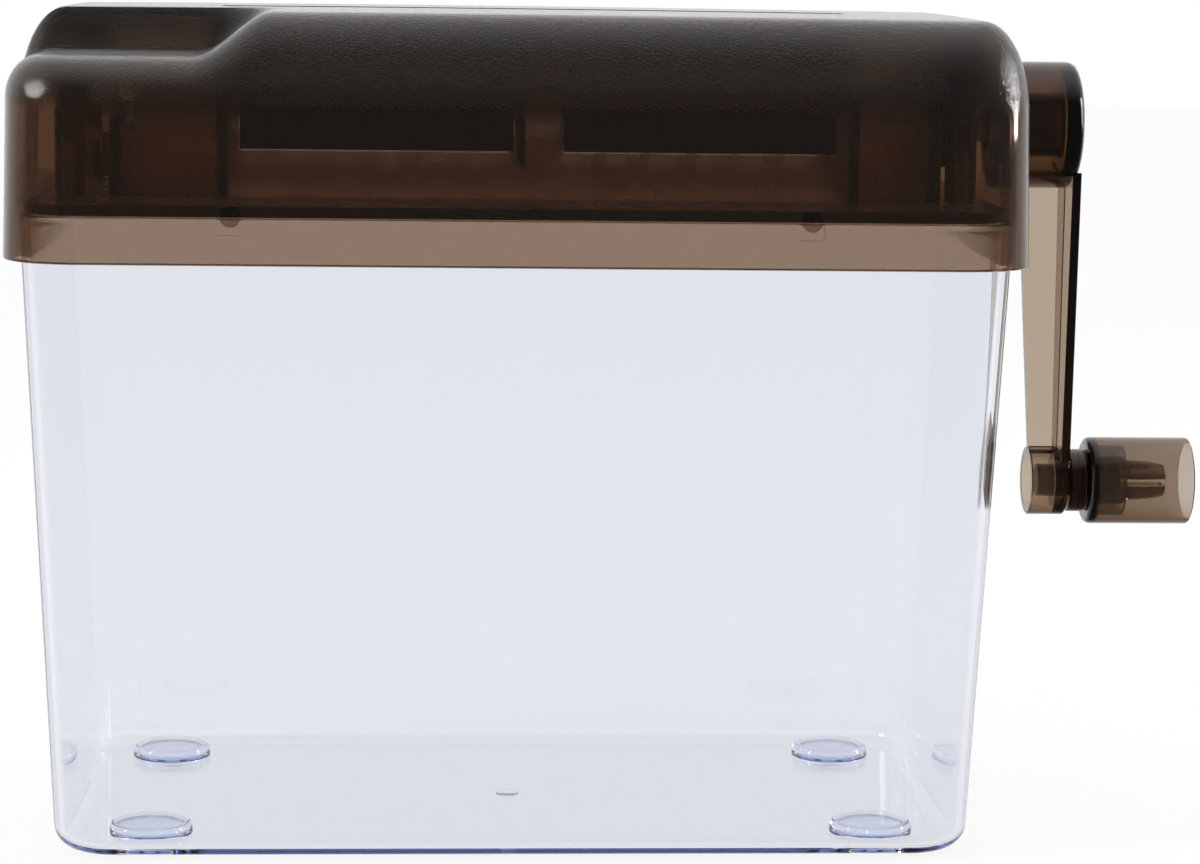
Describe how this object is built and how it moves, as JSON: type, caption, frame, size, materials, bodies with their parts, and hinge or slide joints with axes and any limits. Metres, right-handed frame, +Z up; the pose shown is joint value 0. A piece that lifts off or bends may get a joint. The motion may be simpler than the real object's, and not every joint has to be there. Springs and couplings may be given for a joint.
{
  "type": "hand-cranked paper shredder",
  "caption": "Desktop paper shredder turned by a side crank: smoky see-through head with meshed cutting discs, lifting off a clear tapered bin.",
  "frame": {"origin": "on the table, at the middle of the whole object's footprint, crank included", "axes": "+X towards the crank, -Y the front of the bin, +Z up"},
  "size_m": [0.2142, 0.0986, 0.148],
  "materials": {
    "clear_bin": "clear moulded polystyrene with a faint blue tint, polished",
    "foot_pad": "soft clear bluish polyurethane pad",
    "smoked_cover": "smoky brown see-through moulding, lightly spark-textured on top",
    "smoked_frame": "smoky brown see-through moulding, smooth",
    "smoked_crank": "smoky see-through moulding, polished",
    "smoked_grip": "thin smoky see-through moulding, polished",
    "black_comb": "black moulded nylon",
    "gear_plastic": "black acetal, moulded",
    "bushing_nylon": "plain nylon bush",
    "cutter_steel": "pressed steel disc, lightly oiled",
    "shaft_steel": "drawn hexagon steel bar",
    "screw_steel": "zinc-plated self-tapping screw"
  },
  "bodies": {
    "bin": {"bin": "clear_bin", "foot_pad_front_left": "foot_pad", "foot_pad_front_right": "foot_pad", "foot_pad_rear_left": "foot_pad", "foot_pad_rear_right": "foot_pad"},
    "head": {"head_cover": "smoked_cover", "cutter_frame": "smoked_frame", "frame_screw_front_left": "screw_steel", "frame_screw_front_right": "screw_steel", "frame_screw_rear_left": "screw_steel", "frame_screw_rear_right": "screw_steel", "front_comb_left": "black_comb", "rear_comb_left": "black_comb", "front_comb_right": "black_comb", "rear_comb_right": "black_comb", "centre_stay": "black_comb", "front_bushing_left": "bushing_nylon", "front_bushing_right": "bushing_nylon", "rear_bushing_left": "bushing_nylon", "rear_bushing_right": "bushing_nylon"},
    "drive": {"front_shaft": "shaft_steel", "drive_gear": "gear_plastic", "front_cutter_left_1": "cutter_steel", "front_cutter_left_2": "cutter_steel", "front_cutter_left_3": "cutter_steel", "front_cutter_left_4": "cutter_steel", "front_cutter_left_5": "cutter_steel", "front_cutter_left_6": "cutter_steel", "front_cutter_right_1": "cutter_steel", "front_cutter_right_2": "cutter_steel", "front_cutter_right_3": "cutter_steel", "front_cutter_right_4": "cutter_steel", "front_cutter_right_5": "cutter_steel", "front_cutter_right_6": "cutter_steel", "crank": "smoked_crank", "grip_spindle": "smoked_crank"},
    "driven": {"rear_shaft": "shaft_steel", "driven_gear": "gear_plastic", "rear_cutter_left_1": "cutter_steel", "rear_cutter_left_2": "cutter_steel", "rear_cutter_left_3": "cutter_steel", "rear_cutter_left_4": "cutter_steel", "rear_cutter_left_5": "cutter_steel", "rear_cutter_left_6": "cutter_steel", "rear_cutter_right_1": "cutter_steel", "rear_cutter_right_2": "cutter_steel", "rear_cutter_right_3": "cutter_steel", "rear_cutter_right_4": "cutter_steel", "rear_cutter_right_5": "cutter_steel", "rear_cutter_right_6": "cutter_steel"},
    "grip": {"grip": "smoked_grip"}
  },
  "joints": [
    {"name": "head_lift", "type": "slide", "parent": "bin", "child": "head", "axis": [0, 0, 1], "range_m": [0, 0.06]},
    {"name": "crank_spin", "type": "hinge", "parent": "head", "child": "drive", "pos_m": [0, -0.007, 0.1283], "axis": [1, 0, 0], "continuous": true},
    {"name": "rear_shaft_spin", "type": "hinge", "parent": "head", "child": "driven", "pos_m": [0, 0.007, 0.1283], "axis": [1, 0, 0], "continuous": true},
    {"name": "grip_spin", "type": "hinge", "parent": "drive", "child": "grip", "pos_m": [0.0968, -0.007, 0.0627], "axis": [1, 0, 0], "continuous": true}
  ],
  "couplings": [
    {"joint": "rear_shaft_spin", "follows": "crank_spin", "ratio": -1}
  ]
}
